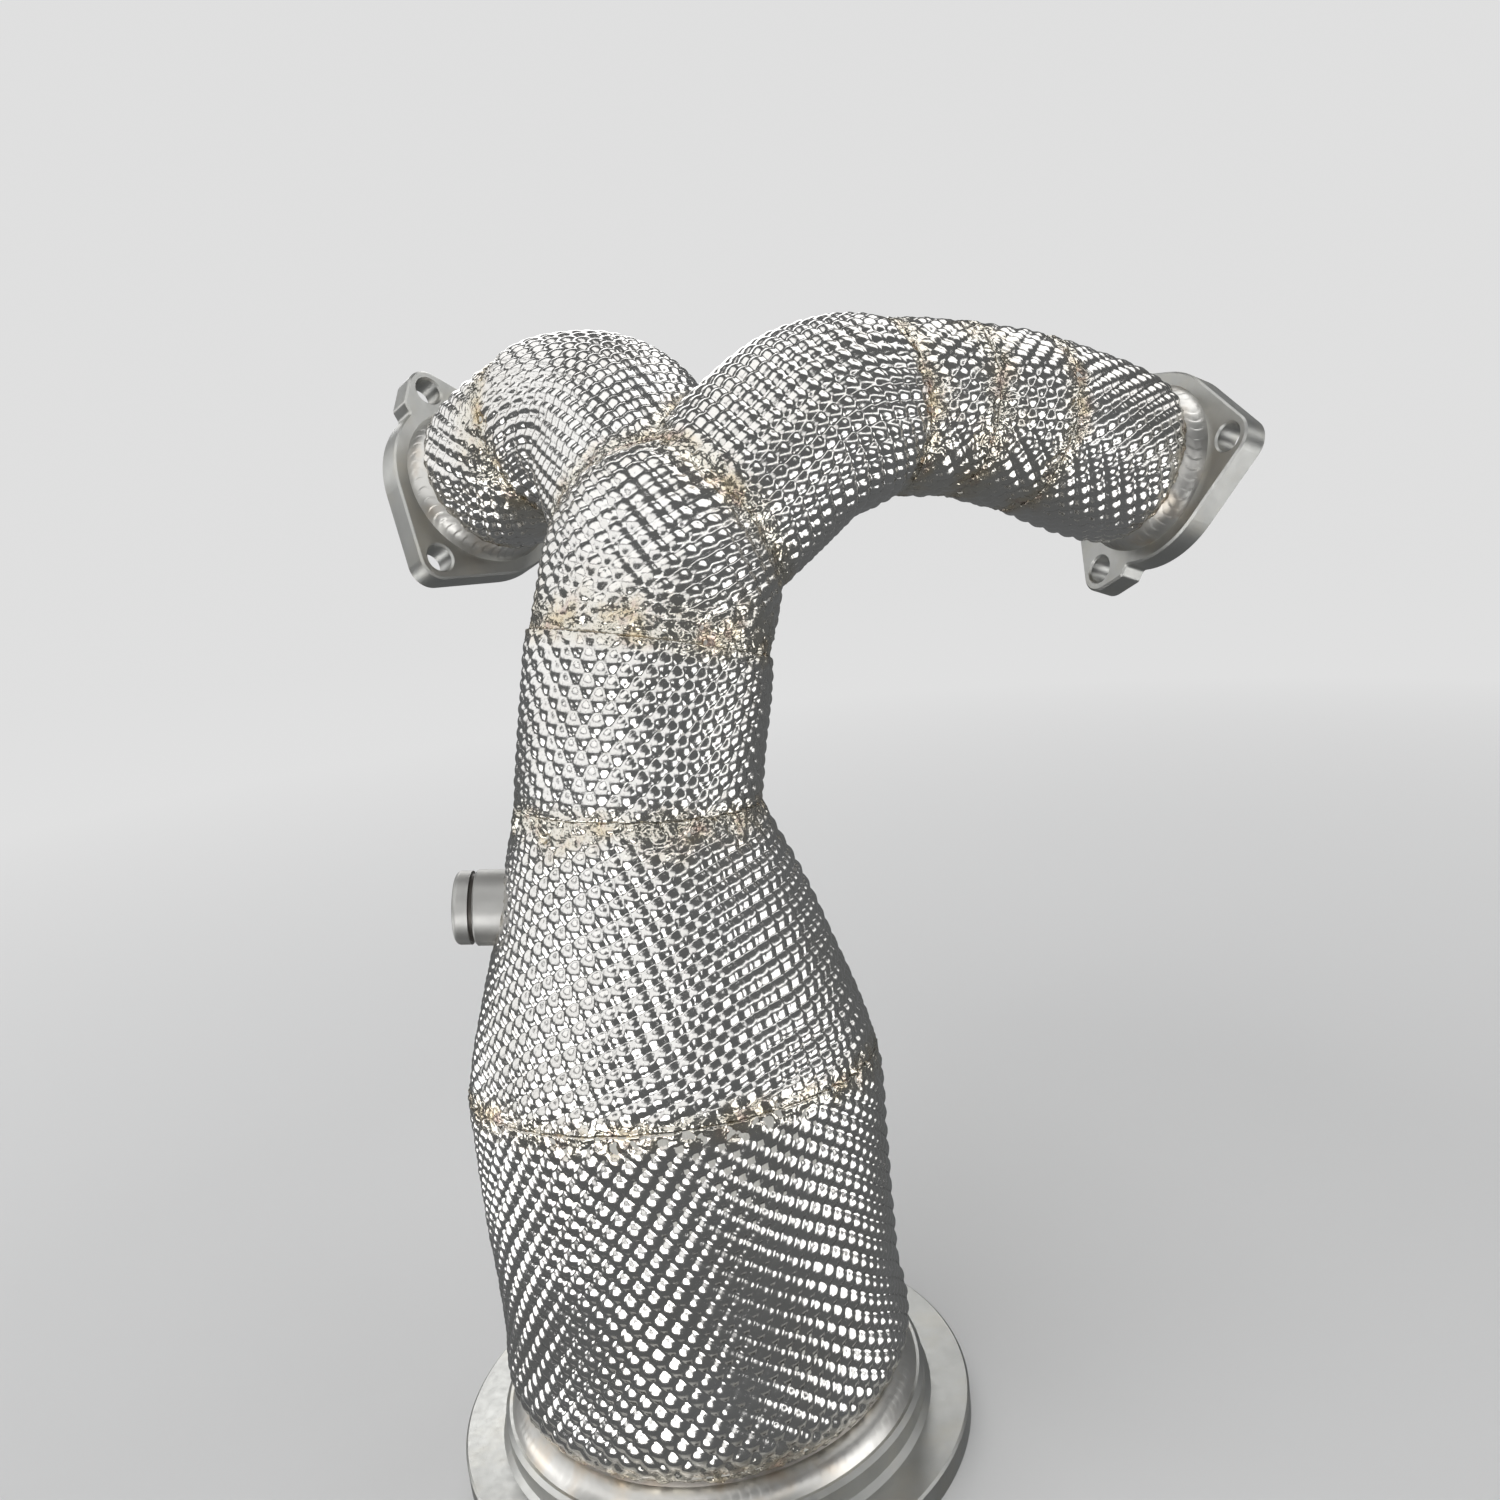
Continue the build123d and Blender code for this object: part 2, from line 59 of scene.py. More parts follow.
# ---- The foil's relief, in millimetres ----
GRID = 0.72      # mesh spacing
PITCH = 5.8                              # embossing pitch
RELIEF = 0.90                            # height of a pillow above its grooves
CROWN = 1.9                              # section of a pillow: higher is flatter, with steeper sides
WANDER, WANDER_SIZE = 0.9, 26.0          # how far the lattice strays, and over what distance
CREASE_SIZE = 4.0                        # size of the facets in the crumpled seams
SEAM_FLATTENING = 0.72                   # share of the relief that the crumpling takes away
SEAM_SINK = 0.45                         # how much deeper the foil lies at a seam
HEM = 1.3                                # how far a sleeve's ends turn in
CUT_OVERLAP = 2.2                        # how far a sleeve runs on inside the body that cuts it
BOSS_HOLE_R, BOSS_OVERLAP = 13.0, 0.7    # opening for the sensor boss, and how far the foil laps it


# ---- Vectors, in millimetres until a mesh is made ----
def vec(*xyz):
    return np.array(xyz, float)


def unit(v):
    return v / np.linalg.norm(v)


def heading(azimuth, elevation):
    level = math.cos(math.radians(elevation))
    return vec(
        level * math.cos(math.radians(azimuth)),
        level * math.sin(math.radians(azimuth)),
        math.sin(math.radians(elevation)),
    )


def midway(first, second):
    return unit(first + second)


UP = vec(0, 0, 1)
SIDE = vec(1, 0, 0)
TO_VIEWER = unit(vec(0, -1, 0.45))

# ---- The CAD model's centreline ----
trunk_start, trunk_end = vec(-0.4, 0, 240), vec(9.6, 11, 291)
trunk_heading = unit(trunk_end - trunk_start)
elbow_entry, elbow_leave = unit(vec(0.26, 0.2, 0.945)), heading(70, 45)
right_entry, right_leave = heading(28.3, 32.3), heading(28.3, 4)
ring_1_heading, ring_2_heading = heading(25, -6), heading(24.5, -15)
right_neck_heading = heading(24.5, -22)
left_entry, left_leave = heading(103, 34.5), heading(150, -9)
left_neck_heading = heading(138, -22)
CAN_R, CONE_R, TRUNK_R, DOME_R = 71.8, 71.5, 41.2, 40.5
ROOT_R, WAIST_R, NECK_R, TUBE_R = 35.0, 31.6, 33.7, 30.0
BRANCH_START = 6.0          # from the dome's centre to a branch's first station
RIGHT_RUN, LEFT_RUN = 60.5, 60.6
STATION_STEP = 1.0


def ring(origin, x_dir, normal, radius):
    """A station: centre, two in-plane axes and a radius."""
    normal = unit(normal)
    x = unit(x_dir - normal * np.dot(x_dir, normal))
    return origin, x, np.cross(normal, x), radius


def run(start, direction, length, x_dir, radius):
    """Stations along a straight run."""
    count = max(2, int(length / STATION_STEP) + 1)
    return [
        ring(start + direction * s, x_dir, direction, radius)
        for s in np.linspace(0, length, count)
    ]


def bend(start, entry, leave, bend_radius, radius):
    """Stations round a circular bend, and the point where it ends."""
    turn = math.acos(np.dot(entry, leave))
    inward = unit(leave - entry * np.dot(entry, leave))
    axis = unit(np.cross(entry, leave))
    centre = start + inward * bend_radius
    stations = []
    for angle in np.linspace(0, turn, max(3, int(turn * bend_radius / STATION_STEP))):
        at = centre + (entry * math.sin(angle) - inward * math.cos(angle)) * bend_radius
        stations.append(ring(at, axis, entry * math.cos(angle) + inward * math.sin(angle), radius))
    return stations, stations[-1][0]


elbow_stations, dome_centre = bend(trunk_end, elbow_entry, elbow_leave, 60.0, DOME_R)
right_start = dome_centre + right_entry * RIGHT_RUN
right_bend, right_bend_end = bend(right_start, right_entry, right_leave, 50.0, ROOT_R)
ring_1_start = right_bend_end + right_leave * 20.0
ring_2_start = ring_1_start + ring_1_heading * 30.0
right_neck_start = ring_2_start + ring_2_heading * 33.0
right_face = right_neck_start + right_neck_heading * 64.0
left_start = dome_centre + left_entry * LEFT_RUN
left_bend, left_bend_end = bend(left_start, left_entry, left_leave, 48.0, ROOT_R)
left_neck_start = left_bend_end + left_leave * 6.0
left_face = left_neck_start + left_neck_heading * 46.5
right_side, left_side = right_bend[0][1], left_bend[0][1]
boss_centre, boss_heading = vec(-59.6, -2, 209.5), heading(180, 6)


# ---- Smooth random fields ----
def lattice_values(cells, seed):
    """A fixed value between -1 and 1 for each cell, from an integer hash of its place."""
    key = cells.astype(np.int64)
    mixed = (key[..., 0] * 73856093) ^ (key[..., 1] * 19349663) ^ (key[..., 2] * 83492791)
    mixed = (mixed + seed * 2654435761) & 0xFFFFFFFF
    mixed = ((mixed ^ (mixed >> 15)) * 2246822519) & 0xFFFFFFFF
    mixed = ((mixed ^ (mixed >> 13)) * 3266489917) & 0xFFFFFFFF
    return ((mixed ^ (mixed >> 16)) & 0xFFFFFF) / float(0xFFFFFF) * 2 - 1


def noise(points, size, seed):
    """Value noise between -1 and 1 with features about `size` mm across."""
    p = points / size
    base = np.floor(p)
    f = p - base
    f = f * f * f * (f * (f * 6 - 15) + 10)
    total = 0
    for corner in np.ndindex(2, 2, 2):
        weight = np.prod(np.where(corner, f, 1 - f), axis=-1)
        total = total + weight * lattice_values(base + np.array(corner), seed)
    return total


def crumple(points, size, seed):
    """Creased sheet: sharp ridges on a warped noise."""
    warp = np.stack([noise(points, size * 1.7, seed + k) for k in (11, 12, 13)], axis=-1)
    bent = points + warp * size * 0.55
    coarse = 1 - 2.2 * np.abs(noise(bent, size, seed))
    fine = 1 - 2.2 * np.abs(noise(bent, size * 0.52, seed + 5))
    return 0.65 * coarse + 0.35 * fine


def pillow(coordinate):
    """Rounded crown once a pitch, meeting its neighbours in a narrow groove."""
    t = np.abs((coordinate / PITCH) % 1.0 - 0.5) * 2
    return 1 - t**CROWN


# ---- Meshes ----
def make_object(name, verts, faces, material):
    """A smooth-shaded piece of the manifold body, from vertices in millimetres."""
    mesh = bpy.data.meshes.new(name)
    mesh.vertices.add(len(verts))
    mesh.vertices.foreach_set("co", (np.asarray(verts) * MM).astype(np.float32).ravel())
    faces = np.asarray(faces, np.int32)
    size = faces.shape[1]
    mesh.loops.add(faces.size)
    mesh.loops.foreach_set("vertex_index", faces.ravel())
    mesh.polygons.add(len(faces))
    mesh.polygons.foreach_set("loop_start", np.arange(0, faces.size, size, dtype=np.int32))
    mesh.polygons.foreach_set("loop_total", np.full(len(faces), size, np.int32))
    mesh.polygons.foreach_set("use_smooth", np.full(len(faces), True))
    mesh.update(calc_edges=True)
    mesh.validate()
    mesh.materials.append(material)
    piece = bpy.data.objects.new(name, mesh)
    bpy.context.scene.collection.objects.link(piece)
    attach(piece, "manifold")
    return piece


def grid_faces(rows, columns):
    """Quads of a rows x columns grid of vertices, closed round the columns."""
    r, c = np.meshgrid(np.arange(rows - 1), np.arange(columns), indexing="ij")
    n = (c + 1) % columns
    quads = np.stack([r * columns + c, r * columns + n, (r + 1) * columns + n, (r + 1) * columns + c], -1)
    return quads.reshape(-1, 4)


def circles(stations, angles):
    """Points round each station, as stations x angles x 3."""
    cos, sin = np.cos(angles)[:, None], np.sin(angles)[:, None]
    return np.array([o + r * (cos * x + sin * y) for o, x, y, r in stations])


def resample(points, spacing):
    """Rows respaced evenly along the surface, through a smooth curve between stations."""
    gaps = np.linalg.norm(np.diff(points, axis=0), axis=-1).max(axis=1)
    t = np.concatenate([[0], np.cumsum(gaps)])
    want = np.linspace(0, t[-1], max(3, int(t[-1] / spacing) + 1))
    slope = np.gradient(points, t, axis=0)
    k = np.clip(np.searchsorted(t, want, side="right") - 1, 0, len(t) - 2)
    h = (t[k + 1] - t[k])[:, None, None]
    u = ((want - t[k]) / (t[k + 1] - t[k]))[:, None, None]
    a, b = points[k], points[k + 1]
    ma, mb = slope[k] * h, slope[k + 1] * h
    return (
        a * (2 * u**3 - 3 * u**2 + 1) + ma * (u**3 - 2 * u**2 + u)
        + b * (3 * u**2 - 2 * u**3) + mb * (u**3 - u**2)
    )


def normals(grid):
    """Unit normals of a grid of points that is closed round its columns."""
    along = np.gradient(grid, axis=0)
    around = (np.roll(grid, -1, axis=1) - np.roll(grid, 1, axis=1)) / 2
    n = np.cross(around, along)
    return n / np.maximum(np.linalg.norm(n, axis=-1, keepdims=True), 1e-9)


# ---- Bodies that cut each other at the collector ----
def capsule_distance(points, chain, radius):
    """Signed distance to a round tube that follows a chain of points."""
    best = np.full(points.shape[:-1], 1e9)
    for a, b in zip(chain[:-1], chain[1:]):
        d = b - a
        t = np.clip(((points - a) @ d) / np.dot(d, d), 0, 1)
        gap = np.linalg.norm(points - (a + t[..., None] * d), axis=-1)
        best = np.minimum(best, gap)
    return best - radius


def centres(stations):
    """Every sixth station's centre, and the last one's."""
    picked = [s[0] for s in stations[::6]]
    return picked + [stations[-1][0]]


dome_chain = centres([ring(trunk_end, SIDE, elbow_entry, DOME_R)] + elbow_stations)
right_chain = [dome_centre + right_entry * BRANCH_START] + centres(right_bend)
left_chain = [dome_centre + left_entry * BRANCH_START] + centres(left_bend)
BODIES = {
    "dome": (dome_chain, DOME_R),
    "right": (right_chain, ROOT_R),
    "left": (left_chain, ROOT_R),
}


def unrolled(base, stations, offsets, walked, straight, cone_half_angle):
    """Flat coordinates of a sleeve, across and along, in which its lattice is square."""
    mean_radius = np.mean([s[3] for s in stations])
    along = walked
    if straight:
        origin = stations[0][0]
        along = (base - origin) @ unit(stations[-1][0] - origin)
    if not cone_half_angle:
        return offsets[None, :] * mean_radius + np.zeros_like(along), along
    sin_half = math.sin(cone_half_angle)
    slant = mean_radius / sin_half - along / math.cos(cone_half_angle) + np.ptp(along) / 2
    swing = offsets[None, :] * sin_half
    return slant * np.sin(swing), -slant * np.cos(swing)


def fade(gap, squared_reach):
    """1 at an edge and inside it, falling off with the distance from it."""
    return np.exp(-np.clip(gap, 0, None) ** 2 / squared_reach)


def creasing(base, ends, lap, cut_by, boss, seed):
    """How crumpled each point of a sleeve is, from 0 to 1, and which points are kept."""
    seam = np.zeros(base.shape[:-1])
    keep = np.ones(base.shape[:-1], bool)
    for gap, width, strength in ends:
        ragged = gap + noise(base, 7.0, seed + 3) * width * 0.35
        seam = np.maximum(seam, strength * fade(ragged, (0.75 * width) ** 2))
    seam = np.maximum(seam, 0.85 * np.exp(-(lap + noise(base, 6.0, seed + 4)) ** 2 / 9.0))
    for other in cut_by:
        chain, radius = BODIES[other]
        gap = capsule_distance(base, chain, radius)
        seam = np.maximum(seam, 0.9 * fade(gap, 12.0))
        keep &= gap > -CUT_OVERLAP
    if boss:
        offset = base - boss_centre
        from_axis = offset - (offset @ boss_heading)[..., None] * boss_heading
        gap = np.linalg.norm(from_axis, axis=-1) - BOSS_HOLE_R
        gap = np.where(base[..., 0] < 0, gap, 99.0)      # only on the boss's side of the cone
        seam = np.maximum(seam, 0.6 * fade(gap, 6.0))
        keep &= gap > -BOSS_OVERLAP
    return np.clip(seam, 0, 1), keep


def foil(name, stations, turn, crimp, rough, seed, straight=True, cut_by=(), boss=False,
         cone_half_angle=0.0):
    """One embossed sleeve: lattice relief, creased ends, a lengthwise lap at the back.

    `turn` is the lattice's angle to the sleeve's length in degrees. `crimp` and `rough` give the
    width in millimetres and the strength of the creasing at the two ends.
    """
    mean_radius = np.mean([s[3] for s in stations])
    columns = int(2 * math.pi * mean_radius / GRID)
    _, x, y, _ = stations[0]
    facing = math.atan2(np.dot(TO_VIEWER, y), np.dot(TO_VIEWER, x))
    offsets = np.linspace(-math.pi, math.pi, columns, endpoint=False)
    base = resample(circles(stations, offsets + facing), GRID)
    n = normals(base)

    step = np.linalg.norm(np.diff(base, axis=0), axis=-1)
    walked = np.concatenate([np.zeros((1, columns)), np.cumsum(step, axis=0)])
    across, along = unrolled(base, stations, offsets, walked, straight, cone_half_angle)
    stray = [noise(base, WANDER_SIZE, seed) * WANDER, noise(base, WANDER_SIZE, seed + 1) * WANDER]
    c, s = math.cos(math.radians(turn)), math.sin(math.radians(turn))
    relief = (
        pillow(c * across + s * along + stray[0])
        + pillow(c * along - s * across + stray[1]) - 0.9
    )

    ends = ((walked, crimp[0], rough[0]), (walked[-1] - walked, crimp[1], rough[1]))
    lap = (math.pi - np.abs(offsets))[None, :] * mean_radius
    seam, keep = creasing(base, ends, lap, cut_by, boss, seed)

    swell = noise(base, 34.0, seed + 6) * 0.5 + noise(base, 12.0, seed + 7) * 0.16
    unevenness = 1 + 0.22 * noise(base, 15.0, seed + 8)
    height = RELIEF * relief * (1 - SEAM_FLATTENING * seam) * unevenness
    creases = crumple(base, CREASE_SIZE, seed) * (0.05 + 0.95 * seam)
    height += creases - SEAM_SINK * seam + swell * (1 - seam)
    surface = base + n * height[..., None]

    # The sleeve's ends turn in under themselves.
    hem_start = base[0] - n[0] * HEM + n[0] * height[0][:, None] * 0.3
    hem_end = base[-1] - n[-1] * HEM + n[-1] * height[-1][:, None] * 0.3
    verts = np.concatenate([hem_start[None], surface, hem_end[None]]).reshape(-1, 3)
    seam_all = np.concatenate([seam[:1], seam, seam[-1:]]).ravel()
    keep_all = np.concatenate([keep[:1], keep, keep[-1:]]).ravel()
    faces = grid_faces(len(base) + 2, columns)
    faces = faces[keep_all[faces].all(axis=1)]
    used = np.unique(faces)
    new_index = np.zeros(len(verts), np.int64)
    new_index[used] = np.arange(len(used))
    piece = make_object(name, verts[used], new_index[faces], foil_steel)
    layer = piece.data.attributes.new("seam", "FLOAT", "POINT")
    layer.data.foreach_set("value", seam_all[used].astype(np.float32))
    return piece


# ---- Materials ----
def new_material(name):
    material = bpy.data.materials.new(name)
    material.use_nodes = True
    tree = material.node_tree
    tree.nodes.clear()
    output = tree.nodes.new("ShaderNodeOutputMaterial")
    shader = tree.nodes.new("ShaderNodeBsdfPrincipled")
    tree.links.new(shader.outputs[0], output.inputs[0])
    return material, tree, shader


def add_node(tree, kind, inputs=None, **settings):
    """A shader node with its settings, and each input linked to a socket or set to a value."""
    node = tree.nodes.new(kind)
    for key, value in settings.items():
        setattr(node, key, value)
    for key, value in (inputs or {}).items():
        if hasattr(value, "is_output"):
            tree.links.new(value, node.inputs[key])
        else:
            node.inputs[key].default_value = value
    return node


def position(tree, scale=(1, 1, 1)):
    coords = add_node(tree, "ShaderNodeTexCoord")
    mapping = add_node(tree, "ShaderNodeMapping", {"Vector": coords.outputs["Object"], "Scale": scale})
    return mapping.outputs["Vector"]


def noise_node(tree, size_mm, detail=3.0, roughness=0.55, stretch=(1, 1, 1)):
    return add_node(
        tree, "ShaderNodeTexNoise",
        {
            "Vector": position(tree, stretch), "Scale": 1000.0 / size_mm,
            "Detail": detail, "Roughness": roughness,
        },
    ).outputs["Fac"]


def ramp(tree, value, *stops):
    node = add_node(tree, "ShaderNodeValToRGB", {"Fac": value})
    elements = node.color_ramp.elements
    while len(elements) < len(stops):
        elements.new(0.5)
    for element, (place, colour) in zip(elements, stops):
        element.position = place
        element.color = (*colour, 1)
    return node.outputs["Color"]


def remap(tree, value, low, high, to_low, to_high):
    return add_node(
        tree, "ShaderNodeMapRange",
        {"Value": value, "From Min": low, "From Max": high, "To Min": to_low, "To Max": to_high},
    ).outputs["Result"]


def mix_colour(tree, factor, first, second):
    """The colours' mix: sockets 0, 6 and 7 of the node are its factor and its two colours."""
    first, second = (c if hasattr(c, "is_output") else (*c, 1) for c in (first, second))
    return add_node(tree, "ShaderNodeMix", {0: factor, 6: first, 7: second}, data_type="RGBA").outputs[2]


def math_node(tree, operation, first, second=0.0):
    return add_node(tree, "ShaderNodeMath", {0: first, 1: second}, operation=operation).outputs[0]


def bump(tree, shader, height, distance_mm, strength=1.0):
    node = add_node(
        tree, "ShaderNodeBump", {"Height": height, "Distance": distance_mm * MM, "Strength": strength}
    )
    tree.links.new(node.outputs["Normal"], shader.inputs["Normal"])


def foil_material():
    """Bright foil, soiled and tinted by heat where it is creased."""
    material, tree, shader = new_material("embossed_foil")
    seam = add_node(tree, "ShaderNodeAttribute", attribute_name="seam").outputs["Fac"]
    blotch = noise_node(tree, 12.0, 4.0, 0.6)
    patch = noise_node(tree, 38.0, 2.0)
    heat = math_node(tree, "MULTIPLY", seam, remap(tree, blotch, 0.47, 0.66, 0.0, 1.0))
    tint = ramp(
        tree, noise_node(tree, 5.0, 3.0),
        (0.30, (0.56, 0.46, 0.30)), (0.48, (0.64, 0.54, 0.38)),
        (0.60, (0.50, 0.35, 0.28)), (0.75, (0.33, 0.28, 0.27)),
    )
    clean = ramp(tree, patch, (0.3, (0.60, 0.585, 0.56)), (0.7, (0.67, 0.66, 0.645)))
    soiled = mix_colour(tree, math_node(tree, "MULTIPLY", seam, 0.65), clean, (0.57, 0.53, 0.43))
    colour = mix_colour(tree, math_node(tree, "MULTIPLY", heat, 0.85), soiled, tint)
    tree.links.new(colour, shader.inputs["Base Color"])
    shader.inputs["Metallic"].default_value = 1.0
    smear = remap(tree, noise_node(tree, 2.2, 5.0, 0.65), 0.3, 0.7, 0.10, 0.24)
    worn = math_node(tree, "ADD", smear, math_node(tree, "MULTIPLY", heat, 0.10))
    tree.links.new(worn, shader.inputs["Roughness"])
    centred = math_node(tree, "SUBTRACT", noise_node(tree, 4.2, 2.0, 0.5), 0.5)
    folds = math_node(tree, "MULTIPLY", math_node(tree, "ABSOLUTE", centred), seam)
    grain = math_node(tree, "MULTIPLY", noise_node(tree, 0.9, 4.0, 0.6), 0.05)
    bump(tree, shader, math_node(tree, "SUBTRACT", grain, math_node(tree, "MULTIPLY", folds, 3.0)), 0.6)
    return material


def blasted_steel(name, dark, light, rough=(0.34, 0.48), grain=0.35, depth=0.035, tint=None):
    """Satin steel with a fine blasted grain, faint handling marks and, with a tint, heat spots."""
    material, tree, shader = new_material(name)
    cloud = noise_node(tree, 30.0, 4.0)
    colour = ramp(tree, cloud, (0.3, dark), (0.7, light))
    if tint:
        spot = remap(tree, noise_node(tree, 14.0, 3.0), 0.5, 0.75, 0.0, 0.6)
        colour = mix_colour(tree, spot, colour, tint)
    tree.links.new(colour, shader.inputs["Base Color"])
    shader.inputs["Metallic"].default_value = 1.0
    scuff = noise_node(tree, 3.0, 6.0, 0.7, (1, 1, 0.25))
    tree.links.new(remap(tree, scuff, 0.3, 0.7, *rough), shader.inputs["Roughness"])
    bump(tree, shader, noise_node(tree, grain, 2.0, 0.7), depth, 0.8)
    return material


def fibre_material(name, dark, light):
    """Matted fibre with strands that run along Z."""
    material, tree, shader = new_material(name)
    strands = noise_node(tree, 1.2, 6.0, 0.75, (1, 1, 0.2))
    tree.links.new(ramp(tree, strands, (0.3, dark), (0.7, light)), shader.inputs["Base Color"])
    shader.inputs["Roughness"].default_value = 0.95
    bump(tree, shader, strands, 0.5)
    return material


def honeycomb_material():
    """Extruded ceramic: open square cells on the two end faces, their openings painted near-black as
    painted shade inside the channels, plain grain round the side.
    """
    material, tree, shader = new_material("ceramic")
    coords = add_node(tree, "ShaderNodeTexCoord")
    place = add_node(tree, "ShaderNodeSeparateXYZ", {"Vector": coords.outputs["Object"]})
    facing = add_node(tree, "ShaderNodeSeparateXYZ", {"Vector": coords.outputs["Normal"]})
    cell = 1.27 * MM
    half_wall = 0.09 * cell
    shaded_cell_openings = math_node(tree, "GREATER_THAN", math_node(tree, "ABSOLUTE", facing.outputs["Z"]), 0.9)
    for axis in ("X", "Y"):
        across = math_node(tree, "PINGPONG", place.outputs[axis], cell / 2)
        shaded_cell_openings = math_node(tree, "MULTIPLY", shaded_cell_openings, math_node(tree, "GREATER_THAN", across, half_wall))
    fired = noise_node(tree, 1.2, 6.0, 0.75)
    grain = ramp(tree, fired, (0.3, (0.42, 0.38, 0.31)), (0.7, (0.62, 0.57, 0.47)))
    # Painted shade: the cell openings are coloured near-black for the shade deep inside the open
    # channels.
    tree.links.new(mix_colour(tree, shaded_cell_openings, grain, (0.035, 0.032, 0.028)), shader.inputs["Base Color"])
    shader.inputs["Roughness"].default_value = 0.92
    bump(tree, shader, math_node(tree, "MULTIPLY", shaded_cell_openings, -1.0), 0.4)
    return material


foil_steel = foil_material()
weld_steel = blasted_steel(
    "weld_bead", (0.50, 0.49, 0.465), (0.60, 0.59, 0.565), (0.32, 0.44), 0.6, 0.02, (0.60, 0.50, 0.38)
)
MATERIALS = {
    "embossed_foil": foil_steel,
    "flange_steel": blasted_steel(
        "flange_steel", (0.41, 0.41, 0.395), (0.51, 0.51, 0.49), tint=(0.49, 0.47, 0.41)
    ),
    "tube_steel": blasted_steel(
        "tube_steel", (0.34, 0.32, 0.30), (0.48, 0.45, 0.42), (0.35, 0.55), 0.8, 0.03, (0.42, 0.33, 0.24)
    ),
    "weld_bead": weld_steel,
    "fitting_steel": blasted_steel(
        "fitting_steel", (0.40, 0.395, 0.38), (0.48, 0.475, 0.46), (0.44, 0.54), 0.3, 0.02
    ),
    "washer_steel": blasted_steel(
        "washer_steel", (0.06, 0.055, 0.05), (0.12, 0.11, 0.10), (0.45, 0.6), 0.4, 0.02
    ),
    "ceramic": honeycomb_material(),
    "mat": fibre_material("mat", (0.36, 0.32, 0.26), (0.58, 0.53, 0.44)),
    "insulation": fibre_material("insulation", (0.70, 0.68, 0.62), (0.90, 0.88, 0.83)),
}
for entry in frame["record"]["subparts"]:
    mesh = frame["nodes"][entry["node"]].data
    mesh.materials.clear()
    mesh.materials.append(MATERIALS[entry["material_slot"]])

# ---- The foil sleeves ----
seam_tilt = math.radians(8)      # the can is cut off obliquely
can_seam_normal = vec(0, math.sin(seam_tilt), math.cos(seam_tilt))
trunk_seam_normal = midway(UP, trunk_heading)
elbow_seam_normal = midway(trunk_heading, elbow_entry)

can_foil = foil(
    "foil_can",
    [ring(vec(0, 0, 28.5), SIDE, UP, 69.9), ring(vec(0, 0, 32), SIDE, UP, CAN_R),
     ring(vec(0, 0, 60), SIDE, UP, CAN_R), ring(vec(0, 0, 100), SIDE, UP, CAN_R),
     ring(vec(0, 0, 144.5), SIDE, can_seam_normal, CAN_R)],
    turn=53, crimp=(9, 7), rough=(1.0, 0.8), seed=21,
)
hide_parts("can_shield")

cone_foil = foil(
    "foil_cone",
    [ring(vec(0, 0, 144.7), SIDE, can_seam_normal, CONE_R),
     ring(vec(0.3, 0, 157.5), SIDE, can_seam_normal, CAN_R - 3.5),
     ring(vec(0.9, 0, 197), SIDE, vec(0.03, 0.12, 1), CAN_R - 16.6),
     ring(trunk_start, SIDE, trunk_seam_normal, TRUNK_R + 0.2)],
    turn=20, crimp=(6, 11), rough=(0.9, 1.0), seed=31, boss=True,
    cone_half_angle=math.radians(17.5),
)
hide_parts("cone_shield")

trunk_foil = foil(
    "foil_trunk",
    [ring(trunk_start, SIDE, trunk_seam_normal, TRUNK_R),
     ring(trunk_end, SIDE, elbow_seam_normal, TRUNK_R)],
    turn=45, crimp=(5, 5), rough=(0.7, 0.7), seed=41,
)
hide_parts("trunk_shield")


def dome_stations():
    """The bend, then the half sphere that closes it."""
    first = ring(trunk_end, elbow_stations[0][1], elbow_seam_normal, DOME_R)
    cap = []
    _, x, _, _ = elbow_stations[-1]
    for angle in np.linspace(0.02, 0.47, 24) * math.pi:
        centre = dome_centre + elbow_leave * DOME_R * math.sin(angle)
        cap.append(ring(centre, x, elbow_leave, DOME_R * math.cos(angle)))
    later = [s for s in elbow_stations if np.dot(s[0] - trunk_end, elbow_entry) > 5.0]
    return [first, *later, *cap]


dome_foil = foil(
    "foil_dome", dome_stations(), turn=41, crimp=(16, 1), rough=(1.0, 0.2), seed=51,
    straight=False, cut_by=("right", "left"),
)
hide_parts("dome_shield")

right_root = dome_centre + right_entry * BRANCH_START
right_elbow_foil = foil(
    "foil_right_elbow",
    run(right_root, right_entry, RIGHT_RUN - BRANCH_START, right_side, ROOT_R)[:-1] + right_bend
    + [ring(ring_1_start, right_side, midway(right_leave, ring_1_heading), WAIST_R)],
    turn=-5, crimp=(2, 5), rough=(0.2, 1.0), seed=61, straight=False, cut_by=("dome", "left"),
)
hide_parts("right_elbow_shield")

left_root = dome_centre + left_entry * BRANCH_START
left_elbow_foil = foil(
    "foil_left_elbow",
    run(left_root, left_entry, LEFT_RUN - BRANCH_START, left_side, ROOT_R)[:-1] + left_bend
    + [ring(left_neck_start, left_side, midway(left_leave, left_neck_heading), NECK_R)],
    turn=20, crimp=(2, 5), rough=(0.2, 1.0), seed=71, straight=False, cut_by=("dome", "right"),
)
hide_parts("left_elbow_shield")

ring_1_seam = (ring_1_start, right_side, midway(right_leave, ring_1_heading))
ring_2_seam = (ring_2_start, right_side, midway(ring_1_heading, ring_2_heading))
right_neck_seam = (right_neck_start, right_side, midway(ring_2_heading, right_neck_heading))
left_neck_seam = (left_neck_start, left_side, midway(left_leave, left_neck_heading))

